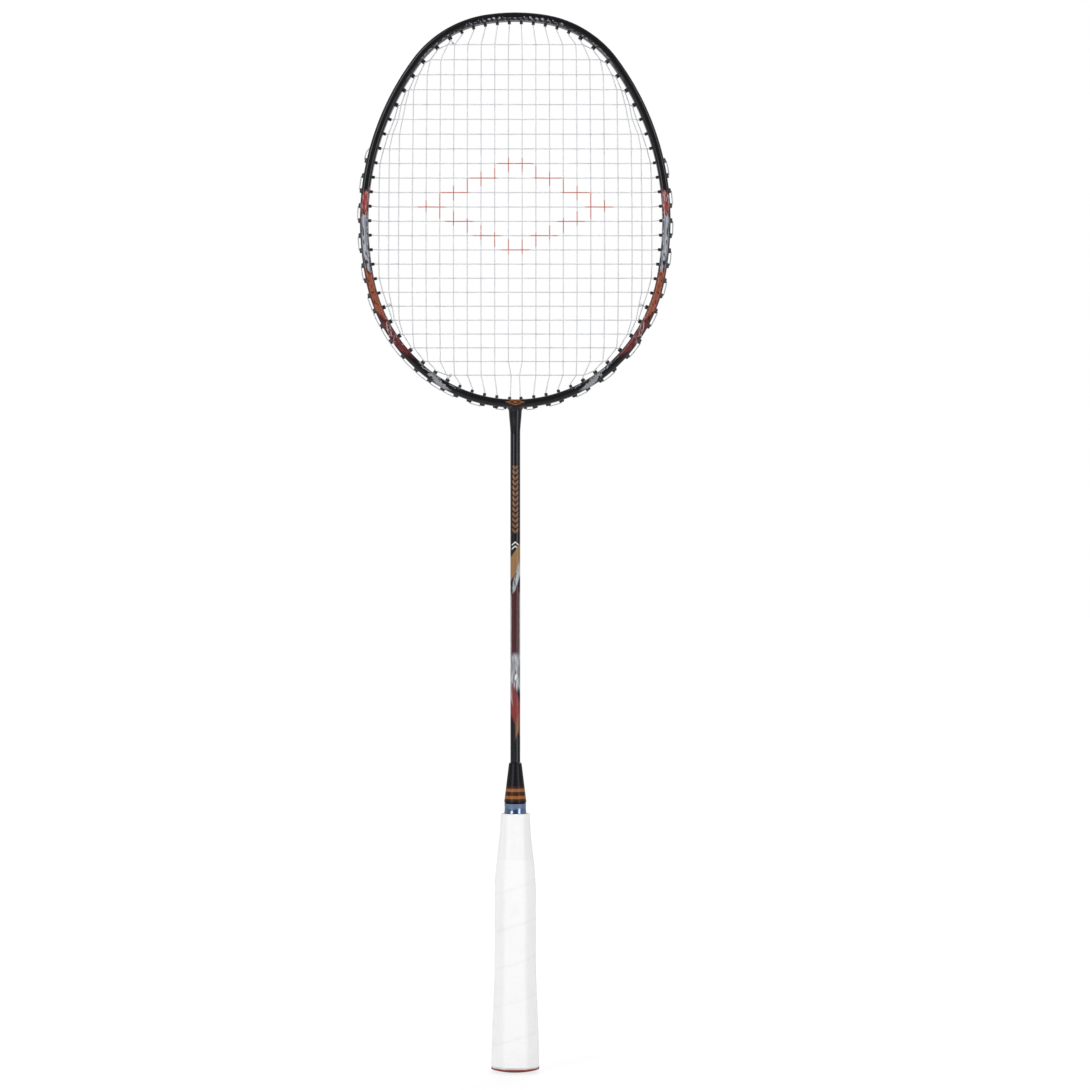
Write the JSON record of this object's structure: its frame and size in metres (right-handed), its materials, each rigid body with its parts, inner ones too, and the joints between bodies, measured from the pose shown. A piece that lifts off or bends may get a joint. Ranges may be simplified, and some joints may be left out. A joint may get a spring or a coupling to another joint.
{
  "type": "badminton racket",
  "caption": "Badminton racket: oval hollow head with woven strings, slim shaft, cone cap and flared eight-sided grip.",
  "frame": {"origin": "centre of the butt cap's flat end", "axes": "+Z from the butt along the shaft to the head, +X across the head, +Y through the face of the head, front towards -Y"},
  "size_m": [0.2018, 0.028, 0.675],
  "materials": {
    "frame_paint": "gloss painted carbon laminate",
    "shaft_paint": "gloss painted carbon tube",
    "joint_alloy": "as cast, inside the frame",
    "wood": "bare light wood",
    "cone_plastic": "gloss black with two coppery bands",
    "ring_metal": "blue steel mirror",
    "cap_plastic": "satin red brown",
    "grip_foam": "soft white polyurethane",
    "tape_white": "thin satin tape",
    "string_nylon": "translucent pale nylon",
    "grommet_nylon": "black nylon"
  },
  "bodies": {
    "root": {"head_frame": "frame_paint", "t_joint": "joint_alloy", "shaft": "shaft_paint", "handle_core": "wood", "cone_cap": "cone_plastic", "cone_ring": "ring_metal", "butt_cap": "cap_plastic", "base_grip": "grip_foam", "finishing_tape": "tape_white", "main_string": "string_nylon", "cross_string": "string_nylon", "grommet_strip_top": "grommet_nylon", "grommet_strip_left": "grommet_nylon", "grommet_strip_right": "grommet_nylon", "side_grommets_left": "grommet_nylon", "side_grommets_right": "grommet_nylon", "lower_grommets_left": "grommet_nylon", "lower_grommets_right": "grommet_nylon", "throat_grommets": "grommet_nylon"}
  },
  "joints": []
}
